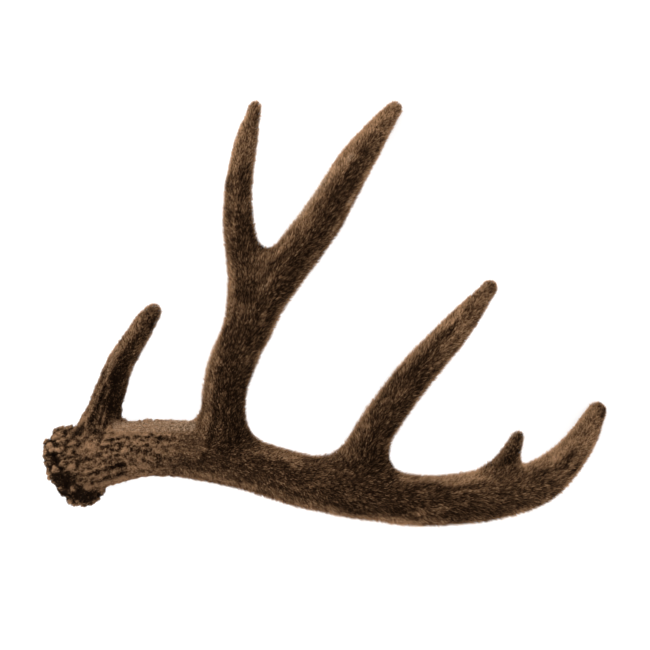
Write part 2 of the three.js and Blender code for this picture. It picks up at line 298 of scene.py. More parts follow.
def grain(points, size, seed):
    """Smooth random values from -1 to 1 that change over about this size."""
    values = np.random.default_rng(seed).uniform(-1, 1, TABLE_SIZE)
    cell = np.floor(points / size).astype(np.int64)
    share = points / size - cell
    share = share * share * (3 - 2 * share)
    total = np.zeros(len(points))
    for corner in itertools.product((0, 1), repeat=3):
        weight = np.prod(np.where(corner, share, 1 - share), axis=1)
        total += weight * values[lattice_spot(cell + corner)]
    return total


def scatter(points, size, seed):
    """The distances, in sizes, to the nearest two of a random scatter of centres."""
    shifts = np.random.default_rng(seed).uniform(0, 1, (TABLE_SIZE, 3))
    spot = points / size
    cell = np.floor(spot).astype(np.int64)
    near = np.full(len(points), np.inf)
    second = near.copy()
    for step in itertools.product((-1, 0, 1), repeat=3):
        at = cell + step
        gap = np.linalg.norm(spot - at - shifts[lattice_spot(at)], axis=1)
        second = np.minimum(second, np.maximum(near, gap))
        near = np.minimum(near, gap)
    return near, second


def streaks(points, growth, size, length, seed):
    """Random values from about -1 to 1, drawn out along the way of growth."""
    steps = np.linspace(-0.5, 0.5, 11) * length
    drawn = np.mean([grain(points + growth * step, size, seed) for step in steps], axis=0)
    return np.clip(drawn / (2 * drawn.std()), -1, 1)


def ease(values, low, high):
    """0 up to low, 1 from high on and smooth between them."""
    share = np.clip((values - low) / (high - low), 0, 1)
    return share * share * (3 - 2 * share)


def fade(values, full, none):
    """1 up to full, 0 from none on and smooth between them."""
    return ease(-values, -none, -full)


# ---- How the antler grows ----


def curve_samples(stations, steps=8):
    """Points, radii and ways along a smooth curve through a limb's stations."""
    rows = np.array(stations, float)
    rows[:, :3] += LIMB_SHIFT
    rows *= MM
    ends = np.vstack([2 * rows[0] - rows[1], rows, 2 * rows[-1] - rows[-2]])
    share = (np.arange(steps) / steps)[:, None]
    samples = []
    for a, b, c, d in zip(ends, ends[1:], ends[2:], ends[3:]):
        bend = (2 * a - 5 * b + 4 * c - d) * share**2 + (3 * b - a - 3 * c + d) * share**3
        samples.append(b + 0.5 * ((c - a) * share + bend))
    samples = np.vstack(samples + [rows[-1:]])
    way = np.gradient(samples[:, :3], axis=0)
    way /= np.linalg.norm(way, axis=1, keepdims=True)
    return samples[:, :3], samples[:, 3], way


def growth_field(points):
    """Each point's way of growth, reach from the burr, nearness to a tip and share of each limb."""
    total_way = np.zeros((len(points), 3))
    total_reach = np.zeros(len(points))
    total_tip = np.zeros(len(points))
    weights, grown = {}, {}
    for name, (carrier, stations) in LIMBS.items():
        places, radii, ways = curve_samples(stations)
        lengths = np.r_[0, np.cumsum(np.linalg.norm(np.diff(places, axis=0), axis=1))]
        start = 0.0
        if carrier:
            carrier_places, carrier_reach = grown[carrier]
            root_gap = np.linalg.norm(carrier_places - places[0], axis=1)
            start = carrier_reach[np.argmin(root_gap)]
        grown[name] = (places, start + lengths)
        squares = (points**2).sum(1)[:, None] - 2 * points @ places.T + (places**2).sum(1)
        apart = squares.clip(0)
        nearest = apart.argmin(1)
        gap = np.sqrt(apart[np.arange(len(points)), nearest]) - radii[nearest]
        weight = np.exp(-np.clip(gap, *LIMB_PULL) / LIMB_FADE)
        weights[name] = weight
        total_way += weight[:, None] * ways[nearest]
        total_reach += weight * (start + lengths[nearest])
        end = lengths[-1]
        total_tip += weight * ease(lengths[nearest], end - TIP_BEGINS, end - TIP_FULL)
    total = sum(weights.values())
    total_way /= np.linalg.norm(total_way, axis=1, keepdims=True) + 1e-12
    shares = {name: weight / total for name, weight in weights.items()}
    return total_way, total_reach / total, total_tip / total, shares


# ---- Meshes ----


def mesh_array(items, name, width, kind=np.float64):
    found = np.empty(len(items) * width, kind)
    items.foreach_get(name, found)
    return found.reshape(-1, width) if width > 1 else found


def even_out(mesh, rounds):
    """Smooths the mesh without shrinking it, and returns its vertices' exact places."""
    places = mesh_array(mesh.vertices, "co", 3)
    edges = mesh_array(mesh.edges, "vertices", 2, np.int32)
    count = np.bincount(edges.ravel(), minlength=len(places))[:, None]
    for amount in (EVEN_STEP, EVEN_BACK) * rounds:
        total = np.zeros_like(places)
        for axis, ends in enumerate(places.T):
            total[:, axis] = np.bincount(edges[:, 0], ends[edges[:, 1]], len(places))
            total[:, axis] += np.bincount(edges[:, 1], ends[edges[:, 0]], len(places))
        places = places + amount * (total / count - places)
    mesh.vertices.foreach_set("co", places.ravel())
    return places


@contextlib.contextmanager
def edited(mesh):
    """The mesh as a bmesh, written back at the end."""
    work = bmesh.new()
    work.from_mesh(mesh)
    yield work
    work.to_mesh(mesh)
    work.free()


def new_object(name, data):
    piece = bpy.data.objects.new(name, data)
    bpy.context.scene.collection.objects.link(piece)
    return piece


def plain_mesh(piece, name):
    """The piece's mesh with its modifiers applied."""
    graph = bpy.context.evaluated_depsgraph_get()
    mesh = bpy.data.meshes.new_from_object(piece.evaluated_get(graph), depsgraph=graph)
    mesh.name = name
    return mesh


def swollen_pieces(swell):
    """One mesh of all the pieces of the frame, each a little swollen."""
    mesh = bpy.data.meshes.new("pieces")
    with edited(mesh) as whole:
        for name in NODES:
            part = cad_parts[name].data.copy()
            with edited(part) as piece:
                bmesh.ops.remove_doubles(piece, verts=piece.verts, dist=1e-6)
                piece.normal_update()
                for vertex in piece.verts:
                    vertex.co += vertex.normal * swell
            whole.from_mesh(part)
            bpy.data.meshes.remove(part)
    return mesh


def nearest_nodes(places):
    """For each place, the index of the frame's node that it is nearest to."""
    corners, faces, owners = [], [], []
    for index, name in enumerate(NODES):
        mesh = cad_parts[name].data
        first = len(corners)
        corners += [v.co.copy() for v in mesh.vertices]
        faces += [[first + i for i in p.vertices] for p in mesh.polygons]
        owners += [index] * len(mesh.polygons)
    tree = BVHTree.FromPolygons(corners, faces)
    return np.array([owners[tree.find_nearest(Vector(place))[2]] for place in places], np.int32)


def refine(mesh, chosen):
    """Cuts each chosen face in four."""
    with edited(mesh) as work:
        work.faces.ensure_lookup_table()
        edges = {edge for index in np.flatnonzero(chosen) for edge in work.faces[index].edges}
        edges = sorted(edges, key=lambda edge: edge.index)
        bmesh.ops.subdivide_edges(work, edges=edges, cuts=1, use_grid_fill=True)


def store(mesh, name, values, kind="FLOAT", domain="POINT"):
    slot = "vector" if kind == "FLOAT_VECTOR" else "value"
    layer = mesh.attributes.new(name, kind, domain)
    layer.data.foreach_set(slot, np.ascontiguousarray(values).ravel())


# ---- The hide ----


def gnarl_strength(reach, shares):
    """How gnarled the antler is: fully at the foot, and less further up."""
    along_beam = 1 - 0.78 * ease(reach, FOOT_END, BEAM_CALM)
    along_beam -= 0.22 * ease(reach, BEAM_CALM, BEAM_SMOOTH)
    along_brow = 1 - 0.88 * ease(reach, FOOT_END, BROW_CALM)
    return along_beam + (along_brow - along_beam) * shares["brow_tine"]


def foot_relief(points, growth, gnarl, ridged, seed):
    """The foot's beads, pits, ridges and furrows, in metres. Where ridged, it has few beads."""
    furrows = streaks(points, growth, 3 * MM, 26 * MM, seed)
    crests = np.abs(streaks(points, growth, 3.6 * MM, 30 * MM, seed + 2)).clip(0, 0.5)
    crests = 0.9 - 3.6 * crests
    along = ((points - BURR_CENTRE) * growth).sum(1)
    bent = points - 0.35 * along[:, None] * growth
    bent += 1.3 * MM * grain(points, 4 * MM, seed + 4)[:, None]
    bead, next_bead = scatter(bent, 4.4 * MM, seed + 1)
    depth = 1.6 + 1.3 * grain(points, 9 * MM, seed + 5)
    beads = 1.3 * fade(next_bead - bead, 0.06, 0.34)
    beads -= depth * fade(bead, 0.12, 0.48) * ease(gnarl, 0.1, 0.7)
    beads += grain(points, 2.4 * MM, seed + 3) - 0.5
    drawn = (0.7 - 0.2 * ridged) * furrows + (0.3 + 0.9 * ridged) * crests
    return (drawn + (1 - 0.75 * ridged) * beads) * gnarl * MM


def burr_relief(points, burr, seed):
    """The burr's rough pearls and the deep gaps between them, in metres."""
    bent = points + 1.6 * MM * grain(points, 7 * MM, seed)[:, None]
    pearl, next_pearl = scatter(bent, 8 * MM, seed)
    chip, next_chip = scatter(bent, 3.4 * MM, seed + 3)
    relief = 1.5 * fade(pearl, 0.14, 0.66) - 1.7 * fade(next_pearl - pearl, 0.03, 0.24)
    relief += 1.5 * grain(points, 2.7 * MM, seed + 1) - 0.8 * fade(next_chip - chip, 0.03, 0.24)
    relief -= 0.9 * ease(grain(points, 8 * MM, seed + 2), 0.4, 0.8)
    return burr * relief * MM


def seat_distance(points):
    """How far each point is above the sawn seat, and how far out from the foot's axis."""
    apart = points - BURR_CENTRE
    height = apart @ FOOT_WAY
    out = np.linalg.norm(apart - height[:, None] * FOOT_WAY, axis=1)
    return height + SEAT_DEPTH, out


def stroke_marks(points, normals):
    """How high the strokes stand at each point, in metres, and how light they are, which is mostly
    painted light and shade.
    """
    flat = points[:, :2] / MM
    above = ease(normals[:, 2], -0.25, 0.15)
    height = np.zeros(len(points))
    light = np.zeros(len(points))
    for x1, y1, x2, y2, width, rise, tone in STROKES:
        start, along = np.array((x1, y1)), np.array((x2 - x1, y2 - y1))
        share = np.clip((flat - start) @ along / (along @ along), 0, 1)
        apart = np.linalg.norm(flat - start - share[:, None] * along, axis=1) / width
        mark = np.exp(-(apart**2)) * above
        height += rise * mark
        light += tone * mark
    return height * MM, light


def even_skin(settings):
    """One even mesh over all the pieces, finer over the foot, and its vertices' exact places."""
    rough = new_object("rough_antler", swollen_pieces(settings.close_cuts))
    remesh = rough.modifiers.new("Grid", "REMESH")
    remesh.mode = "VOXEL"
    remesh.voxel_size = settings.grid
    mesh = plain_mesh(rough, "velvet_hide")
    bpy.data.meshes.remove(rough.data)
    even_out(mesh, 80)
    _, reach, _, shares = growth_field(mesh_array(mesh.polygons, "center", 3))
    on_brow = shares["brow_tine"] > 0.5
    refine(mesh, (reach < FINE_BEAM) | (on_brow & (reach < FINE_BROW)))
    places = even_out(mesh, 6)
    mesh.update()
    return mesh, places


class Skin:
    """What the antler is like at each vertex of its hide, before the hide is shaped."""

    def __init__(self, places, normals):
        self.places, self.normals = places, normals
        self.growth, reach, self.tip, shares = growth_field(places)
        self.gnarl = gnarl_strength(reach, shares)
        self.brow = shares["brow_tine"]
        above_seat, out = seat_distance(places)
        self.burr = ease(out, 0.024, 0.029) * fade(above_seat, 0.020, 0.026)
        self.burr *= fade(reach, 0.05, 0.06)
        self.seat = fade(above_seat, 0.0015, 0.0035) * fade(out, 0.021, 0.024)
        self.level = np.abs(normals[:, 2])
        # The rim, where the hide turns side-on, is where the hair gets painted rim light.
        self.rim = fade(self.level, 0.06, 0.32) * (1 - 0.6 * self.gnarl)
        # The strokes' tone is mostly painted light and shade.
        self.mark_rise, self.mark_tone_and_painted_light = stroke_marks(places, normals)
        hair = 3.8 * (1 - self.gnarl) * (1 - 0.22 * self.tip) + 1.4 * self.gnarl - 0.3 * self.burr
        self.hair = hair * MM


def hide_relief(skin, settings):
    """How far out each vertex stands, in metres, for the lumps, gnarls, pearls and strokes."""
    places, seed = skin.places, settings.seed
    lumps = 0.4 * grain(places, 17 * MM, seed + 5) + 0.22 * grain(places, 7 * MM, seed + 6)
    relief = foot_relief(places, skin.growth, skin.gnarl * (1 - skin.burr), skin.brow, seed)
    relief += burr_relief(places, skin.burr, seed + 7) + skin.mark_rise
    return (relief * settings.relief + lumps * MM) * (1 - skin.seat)


def hair_room(skin):
    """How far the hide lies inside the antler's outline, in metres, to make room for the hair."""
    end_on = np.clip((skin.growth * skin.normals).sum(1), 0, 1)
    room = (0.62 + 0.06 * skin.tip + 0.32 * end_on) * skin.hair
    return room + 0.4 * MM * skin.gnarl * (1 - skin.burr)


def hair_tone(skin, height, seed):
    """How light the hair is at each vertex, where the hide stands this many millimetres out,
    painted light and shade included.
    """
    places, growth, gnarl, burr = skin.places, skin.growth, skin.gnarl, skin.burr
    smooth = 1 - gnarl

    # Blotches and streaks over the whole coat.
    tone = 0.41 + 0.15 * grain(places, 14 * MM, seed + 8)
    tone += 0.28 * streaks(places, growth, 3.6 * MM, 34 * MM, seed + 9)
    tone += 0.22 * smooth * streaks(places, growth, 2.4 * MM, 11 * MM, seed + 13)

    # The gnarled foot's hair gets a painted highlight on its ridges and painted shade in its
    # hollows, with a finer grain.
    ridge = np.minimum(height, 1.3 - 0.4 * burr).clip(-2.0)
    tone += gnarl * (0.46 * ridge + 0.08)
    tone += 0.32 * gnarl * grain(places, 2.2 * MM, seed + 10)
    tone += 0.26 * gnarl * streaks(places, growth, 1.8 * MM, 9 * MM, seed + 12)
    tone += 0.10 * gnarl * grain(places, 6 * MM, seed + 11)
    tone -= 0.08 * skin.brow + 0.16 * burr

    # Painted light and shade: the coat is painted dark above and below, and light at its edges as
    # painted rim light, most on the edges towards the strongest lamp. It is also lighter at the
    # tips and on the pale strokes.
    facing = skin.normals @ PAINTED_SHADE_WAY
    painted_shade = ease(facing, 0.45, 0.95) + 0.6 * ease(-facing, 0.45, 0.95)
    tone -= 0.34 * painted_shade * (1 - 0.75 * gnarl)
    edge = fade(skin.level, 0.05, 0.5) * (1 - 0.5 * burr)
    tone += edge * (0.14 + 0.20 * np.clip(skin.normals @ PAINTED_RIM_LIGHT_WAY, -0.6, 1))
    tone += 0.34 * skin.rim + 0.42 * skin.tip * smooth + skin.mark_tone_and_painted_light
    return np.clip(tone, 0, 1)


def hair_pallor(skin, height):
    """How pale the coat is at each vertex, as painted light: most on pale strokes, some at the rim,
    a little on the foot's crests.
    """
    pale = 0.9 * ease(skin.mark_tone_and_painted_light, 0.2, 0.6) + 0.5 * skin.rim * (1 - skin.gnarl)
    # A painted highlight on the foot's crests.
    pale += 0.08 * skin.gnarl * ease(height, 0.5, 1.5)
    return np.clip(pale, 0, 1)


def hair_cover(skin, height):
    """How much hair grows at each vertex: none on the seat, little in the foot's hollows."""
    in_hollow = skin.gnarl * ease(-height, 0.9, 2.2)
    return (1 - skin.seat) * (1 - in_hollow) * (1 - 0.35 * skin.burr)


def make_hide(settings):
    mesh, places = even_skin(settings)
    skin = Skin(places, mesh_array(mesh.vertices, "normal", 3))
    relief = hide_relief(skin, settings)
    height = relief / MM
    skin.places = places + skin.normals * (relief - hair_room(skin))[:, None]
    mesh.vertices.foreach_set("co", skin.places.ravel())
    mesh.shade_smooth()
    mesh.update()

    store(mesh, "growth", skin.growth, "FLOAT_VECTOR")
    store(mesh, "hair_length", skin.hair)
    store(mesh, "hair_cover", hair_cover(skin, height))
    store(mesh, "hair_tone", hair_tone(skin, height, settings.seed))
    store(mesh, "pale", hair_pallor(skin, height))
    # The stored height also carries the strokes' painted light and shade; the hide is painted light
    # where it stands high and dark where it lies low.
    store(mesh, "height", np.clip(0.5 + height / 5 + 0.5 * skin.mark_tone_and_painted_light, 0, 1))
    store(mesh, "gnarl", skin.gnarl)
    store(mesh, "limb", nearest_nodes(mesh_array(mesh.polygons, "center", 3)), "INT", "FACE")
    return new_object("velvet_hide", mesh)


# ---- Node trees ----


class Tree:
    """A node tree being built. Its nodes are fed with plain values or with sockets."""

    def __init__(self, tree):
        self.tree = tree

    def add(self, kind, feeds=None, **settings):
        node = self.tree.nodes.new(kind)
        for name, value in settings.items():
            setattr(node, name, value)
        for name, value in (feeds or {}).items():
            self.feed(self.socket(node.inputs, name), value)
        return node

    def socket(self, sockets, name):
        """The socket with this number, or the one of this name that is in use."""
        if isinstance(name, int):
            return sockets[name]
        return next(s for s in sockets if s.enabled and s.name == name)

    def feed(self, socket, value):
        if isinstance(value, bpy.types.NodeSocket):
            self.tree.links.new(value, socket)
        else:
            socket.default_value = value

    def out(self, node, name=None):
        return next(s for s in node.outputs if s.enabled and name in (None, s.name))

    def made(self, kind, feeds=None, **settings):
        """The first output of a new node."""
        return self.out(self.add(kind, feeds, **settings))

    def maths(self, operation, *values, clamp=False):
        feeds = dict(enumerate(values))
        return self.made("ShaderNodeMath", feeds, operation=operation, use_clamp=clamp)

    def vector(self, operation, *values):
        feeds = dict(enumerate(values))
        return self.made("ShaderNodeVectorMath", feeds, operation=operation)

    def scaled(self, vector, amount):
        feeds = {0: vector, "Scale": amount}
        return self.made("ShaderNodeVectorMath", feeds, operation="SCALE")

    def joined(self, **parts):
        return self.made("ShaderNodeCombineXYZ", parts)

    def named(self, name, kind="FLOAT"):
        """The attribute of this name."""
        return self.made("GeometryNodeInputNamedAttribute", {"Name": name}, data_type=kind)

    def stored(self, geometry, name, value, kind="FLOAT", domain="POINT"):
        """The geometry with the value stored on it as an attribute of this name."""
        feeds = {"Geometry": geometry, "Name": name, "Value": value}
        settings = {"data_type": kind, "domain": domain}
        return self.made("GeometryNodeStoreNamedAttribute", feeds, **settings)


# ---- The hair ----


# What the hair tree is given, and the kind of socket for each.
HAIR_INPUTS = {
    "Hide": "Geometry", "Limb": "Int", "Cover": "Float", "Seed": "Int", "Width": "Float",
    "Tuft Size": "Float", "Tuft Pull": "Float", "Swirl Size": "Float", "Swirl": "Float",
    "Material": "Material",
}

# All that the hair's mesh carries once it has grown.
HAIR_KEEPS = {"position", "material_index", "sharp_face", HAIR_MAP}


class HairTree(Tree):
    """The node tree that grows bent blades on the faces of one limb of a hide."""

    def __init__(self):
        super().__init__(bpy.data.node_groups.new("Velvet Hair", "GeometryNodeTree"))
        new_socket = self.tree.interface.new_socket
        for name, kind in HAIR_INPUTS.items():
            new_socket(name, in_out="INPUT", socket_type=f"NodeSocket{kind}")
        new_socket("Hair", in_out="OUTPUT", socket_type="NodeSocketGeometry")
        self.given = self.add("NodeGroupInput").outputs
        self.place = self.made("GeometryNodeInputPosition")
        # A few strands are long guard hairs that stand up, and a few others are bright.
        self.guard = self.maths("POWER", self.chance(0.0, 1.0, 6), 4.0)
        self.bright = self.maths("POWER", self.chance(0.0, 1.0, 7), 4.0)
        tufts = self.pattern("ShaderNodeTexVoronoi", "Tuft Size")
        self.tuft_middle = self.out(tufts, "Position")
        tuft_colour = self.out(tufts, "Color")
        self.tuft_chance = self.add("FunctionNodeSeparateColor", {"Color": tuft_colour})
        hair = self.mapped(self.laid_down(self.strands()))
        feeds = {"Geometry": hair, "Material": self.given["Material"]}
        self.add("NodeGroupOutput", {"Hair": self.made("GeometryNodeSetMaterial", feeds)})

    def pattern(self, kind, size, **feeds):
        """A texture over the hide, of the size that the tree is given under this name."""
        feeds["Vector"] = self.place
        feeds["Scale"] = self.maths("DIVIDE", 1.0, self.given[size])
        return self.add(kind, feeds)

    def chance(self, low, high, salt):
        """A random value for each strand."""
        seed = self.maths("ADD", self.given["Seed"], salt)
        feeds = {"Min": low, "Max": high, "Seed": seed}
        return self.made("FunctionNodeRandomValue", feeds, data_type="FLOAT")

    def strands(self):
        """The limb's strands, each with its tone and its coat."""
        spread = self.spread()
        normal = spread.outputs["Normal"]
        length = self.length()
        width = self.maths("MULTIPLY_ADD", self.bright, 0.4, 0.92)
        width = self.maths("MULTIPLY", self.given["Width"], width)
        feeds = {
            "Points": spread.outputs["Points"],
            "Instance": self.blade(),
            "Rotation": self.turn(normal, length),
            "Scale": self.joined(X=width, Y=length, Z=length),
        }
        hair = self.made("GeometryNodeInstanceOnPoints", feeds)
        hair = self.stored(hair, "strand_tone", self.tone(), domain="INSTANCE")
        hair = self.stored(hair, "strand_coat", self.coat(), domain="INSTANCE")
        return self.made("GeometryNodeRealizeInstances", {"Geometry": hair})

    def spread(self):
        """Points at random on the faces of the limb."""
        feeds = {"A": self.named("limb", "INT"), "B": self.given["Limb"]}
        chosen = self.made("FunctionNodeCompare", feeds, data_type="INT", operation="EQUAL")
        feeds = {
            "Mesh": self.given["Hide"],
            "Selection": chosen,
            "Density": self.maths("MULTIPLY", self.given["Cover"], self.named("hair_cover")),
            "Seed": self.given["Seed"],
        }
        return self.add("GeometryNodeDistributePointsOnFaces", feeds, distribute_method="RANDOM")

    def blade(self):
        """A strand: a kite from its root to its tip, bent at its widest place."""
        grid = self.add("GeometryNodeMeshGrid", {"Vertices X": 2, "Vertices Y": 2})
        places, along, across = zip(*BLADE)
        feeds = {"Geometry": self.out(grid, "Mesh"), "Position": self.by_corner(places, "VECTOR")}
        blade = self.made("GeometryNodeSetPosition", feeds)
        blade = self.stored(blade, "along", self.by_corner(along))
        feeds = {"Mesh": self.stored(blade, "across", self.by_corner(across))}
        return self.made("GeometryNodeTriangulate", feeds, quad_method="SHORTEST_DIAGONAL")

    def by_corner(self, values, kind="FLOAT"):
        """The value that goes with each corner of the blade."""
        switch = self.add("GeometryNodeIndexSwitch", data_type=kind)
        for _ in values[2:]:
            switch.index_switch_items.new()
        self.feed(switch.inputs["Index"], self.made("GeometryNodeInputIndex"))
        for place, value in enumerate(values):
            self.feed(switch.inputs[place + 1], value)
        return self.out(switch)

    def length(self):
        """Each strand's length: more for guard hairs and bright ones."""
        length = self.maths("MULTIPLY_ADD", self.guard, 0.5, self.chance(0.72, 1.1, 1))
        length = self.maths("MULTIPLY_ADD", self.bright, 0.3, length)
        return self.maths("MULTIPLY", self.named("hair_length"), length)

    def lie(self, growth, normal):
        """The coat's lie on the hide: along the way of growth, wandering in swirls."""
        swirl = self.pattern("ShaderNodeTexNoise", "Swirl Size", Detail=1.5)
        wander = self.vector("SUBTRACT", self.out(swirl, "Color"), (0.5, 0.5, 0.5))
        wander = self.scaled(wander, self.maths("MULTIPLY", self.given["Swirl"], 4.0))
        lie = self.vector("ADD", growth, wander)
        out = self.vector("DOT_PRODUCT", lie, normal)
        return self.vector("SUBTRACT", lie, self.scaled(normal, out))

    def turn(self, normal, length):
        """How each strand is turned: with the lie, to its tuft and off the hide."""
        growth = self.named("growth", "FLOAT_VECTOR")
        gather = self.vector("SUBTRACT", self.tuft_middle, self.place)
        gather = self.scaled(gather, self.maths("DIVIDE", self.given["Tuft Pull"], length))
        lift = self.maths("MULTIPLY", self.out(self.tuft_chance, "Green"), 0.3)
        lift = self.maths("ADD", self.chance(0.28, 0.65, 2), lift)
        lift = self.maths("MULTIPLY_ADD", self.guard, 2.0, lift)
        end_on = self.maths("MAXIMUM", self.vector("DOT_PRODUCT", growth, normal), 0.0)
        lift = self.maths("ADD", lift, end_on)
        way = self.vector("ADD", self.lie(growth, normal), gather)
        way = self.vector("ADD", way, self.scaled(normal, lift))
        side = self.scaled(self.vector("CROSS_PRODUCT", way, normal), self.chance(-0.9, 0.9, 3))
        feeds = {
            "Primary Axis": self.vector("NORMALIZE", way),
            "Secondary Axis": self.vector("ADD", normal, side),
        }
        axes = {"primary_axis": "Z", "secondary_axis": "Y"}
        return self.made("FunctionNodeAxesToRotation", feeds, **axes)

    def tone(self):
        """Each strand's tone: the hide's, its tuft's and its own chance."""
        tuft = self.maths("MULTIPLY_ADD", self.out(self.tuft_chance, "Red"), 0.56, -0.31)
        tone = self.maths("ADD", self.named("hair_tone"), tuft)
        tone = self.maths("ADD", tone, self.chance(-0.38, 0.22, 4))
        tone = self.maths("MULTIPLY_ADD", self.bright, 0.6, tone)
        tone = self.maths("MULTIPLY_ADD", self.guard, 0.12, tone)
        return self.maths("MINIMUM", self.maths("MAXIMUM", tone, 0.02), 0.98)

    def coat(self):
        """Each strand's coat, drawn by chance from how pale the hair is there; the paler coats are
        painted rim light and highlights.
        """
        last = HAIR_COATS - 1
        coat = self.maths("MULTIPLY_ADD", self.named("pale"), last, self.chance(0.0, 1.0, 5))
        return self.maths("MINIMUM", self.maths("FLOOR", coat), last)

    def laid_down(self, hair):
        """The hair, laid flat where the antler rests on it."""
        spot = self.add("ShaderNodeSeparateXYZ", {"Vector": self.place}).outputs
        above = self.joined(X=spot["X"], Y=spot["Y"], Z=self.maths("MAXIMUM", spot["Z"], 0.0))
        return self.made("GeometryNodeSetPosition", {"Geometry": hair, "Position": above})

    def mapped(self, hair):
        """The hair with its map: the tone across, the coat and the way up the strand upward."""
        across = self.maths("MULTIPLY_ADD", self.named("across"), 0.006, self.named("strand_tone"))
        along = self.maths("MULTIPLY_ADD", self.named("along"), 0.88, 0.06)
        along = self.maths("ADD", self.named("strand_coat"), along)
        along = self.maths("DIVIDE", along, HAIR_COATS)
        return self.stored(hair, HAIR_MAP, self.joined(X=across, Y=along), "FLOAT2", "CORNER")


def make_hair(hide, settings, material, tree, limb, name):
    """The coat of one limb, as a plain mesh that keeps only its map."""
    grower = new_object("hair_grower", hide.data)
    modifier = grower.modifiers.new("Hair", "NODES")
    modifier.node_group = tree
    values = {
        "Limb": limb,
        "Cover": settings.cover * 1e6,
        "Seed": settings.seed + 31 * limb,
        "Width": settings.width,
        "Tuft Size": settings.tuft,
        "Tuft Pull": settings.pull,
        "Swirl Size": settings.swirl_size,
        "Swirl": settings.swirl,
        "Material": material,
    }
    for socket in tree.interface.items_tree:
        if socket.in_out == "INPUT" and socket.name in values:
            modifier[socket.identifier] = values[socket.name]
    mesh = plain_mesh(grower, name)
    bpy.data.objects.remove(grower)
    named = [a.name for a in mesh.attributes if not a.is_internal]
    for extra in set(named) - HAIR_KEEPS:
        mesh.attributes.remove(mesh.attributes[extra])
    return new_object(name, mesh)


# ---- Finishes ----


def new_material(name, roughness, specular):
    material = bpy.data.materials.new(name)
    material.use_nodes = True
    t = Tree(material.node_tree)
    shader = material.node_tree.nodes["Principled BSDF"]
    shader.inputs["Roughness"].default_value = roughness
    shader.inputs["Specular IOR Level"].default_value = specular
    return material, t, shader


def mixed(t, share, low, high):
    """The two colours mixed, with this share of the high one."""
    node = t.add("ShaderNodeMix", data_type="RGBA")
    t.feed(node.inputs[0], share)
    for socket, value in ((node.inputs[6], low), (node.inputs[7], high)):
        t.feed(socket, value if isinstance(value, bpy.types.NodeSocket) else (*value, 1.0))
    return node.outputs[2]


def ranged(t, value, low, high, kind="LINEAR"):
    """0 where the value is at low, and 1 where it is at high."""
    feeds = {"Value": value, "From Min": low, "From Max": high}
    return t.made("ShaderNodeMapRange", feeds, interpolation_type=kind)


def noise(t, place, scale, **settings):
    feeds = {"Vector": place, "Scale": scale, **settings}
    return t.out(t.add("ShaderNodeTexNoise", feeds), "Fac")


def by_coat(t, coat, colours):
    """The colour that goes with each coat of hair."""
    ramp = t.add("ShaderNodeValToRGB", {"Fac": coat})
    ramp.color_ramp.interpolation = "CONSTANT"
    stops = ramp.color_ramp.elements
    for _ in colours[2:]:
        stops.new(1.0)
    for index, colour in enumerate(colours):
        stops[index].position = max(0.0, (index - 0.5) / HAIR_COATS)
        stops[index].color = (*colour, 1.0)
    return ramp.outputs["Color"]


def hair_material(settings):
    """Each strand dark at its root and, by its tone and coat, brown to cream further up."""
    material, t, shader = new_material("velvet_hair", 0.7, 0.02)
    hair_map = t.out(t.add("ShaderNodeUVMap", uv_map=HAIR_MAP), "UV")
    spot = t.add("ShaderNodeSeparateXYZ", {"Vector": hair_map}).outputs
    row = t.maths("MULTIPLY", spot["Y"], HAIR_COATS)
    coat = t.maths("DIVIDE", t.maths("FLOOR", row), HAIR_COATS)
    along = t.maths("FRACT", row)
    dark, light = (by_coat(t, coat, colours) for colours in zip(*COATS))
    share = t.maths("POWER", spot["X"], 1.7)
    body = mixed(t, share, dark, light)
    # The middle tones are warmer than a plain mix of dark and light.
    warm = t.maths("SUBTRACT", 1.8, t.maths("MULTIPLY", share, 2.2))
    warm = t.maths("MULTIPLY", share, warm, clamp=True)
    body = mixed(t, warm, body, (0.23, 0.105, 0.042))
    rise = ranged(t, along, 0.1, 0.85, "SMOOTHSTEP")
    t.feed(shader.inputs["Base Color"], mixed(t, rise, tuple(settings.root), body))
    return material


def hide_material(settings):
    """Dark skin under the hair, and on the gnarled foot tan ridges and almost black hollows: a
    painted highlight and painted shade set by how high the hide stands.
    """
    material, t, shader = new_material("velvet_hide", 0.8, 0.03)
    height, gnarl = (
        t.out(t.add("ShaderNodeAttribute", attribute_name=name), "Fac")
        for name in ("height", "gnarl")
    )
    place = t.add("ShaderNodeTexCoord").outputs["Object"]
    mottle = noise(t, place, 560.0, Detail=5.0, Roughness=0.7)
    level = t.maths("ADD", height, t.maths("MULTIPLY_ADD", mottle, 1.7, -0.85))
    # Painted highlight on the high ridges, painted shade in the low hollows.
    share = t.maths("MULTIPLY", ranged(t, level, 0.34, 0.80, "SMOOTHSTEP"), gnarl)
    colour = mixed(t, share, tuple(settings.dark), tuple(settings.light))
    t.feed(shader.inputs["Base Color"], colour)
    bumps = {"Strength": 0.6, "Distance": 0.6 * MM, "Height": mottle}
    t.feed(shader.inputs["Normal"], t.made("ShaderNodeBump", bumps))
    return material


def bone_material():
    """The sawn seat: pale porous bone, browned here and there."""
    material, t, shader = new_material("seat_bone", 0.7, 0.3)
    place = t.add("ShaderNodeTexCoord").outputs["Object"]
    pores = t.add("ShaderNodeTexVoronoi", {"Vector": place, "Scale": 900.0})
    solid = ranged(t, t.out(pores, "Distance"), 0.12, 0.4)
    colour = mixed(t, solid, (0.08, 0.045, 0.028), (0.5, 0.38, 0.27))
    colour = mixed(t, noise(t, place, 160.0, Detail=6.0), (0.3, 0.2, 0.13), colour)
    t.feed(shader.inputs["Base Color"], colour)
    bumps = {"Strength": 0.7, "Distance": 0.5 * MM, "Height": solid}
    t.feed(shader.inputs["Normal"], t.made("ShaderNodeBump", bumps))
    return material


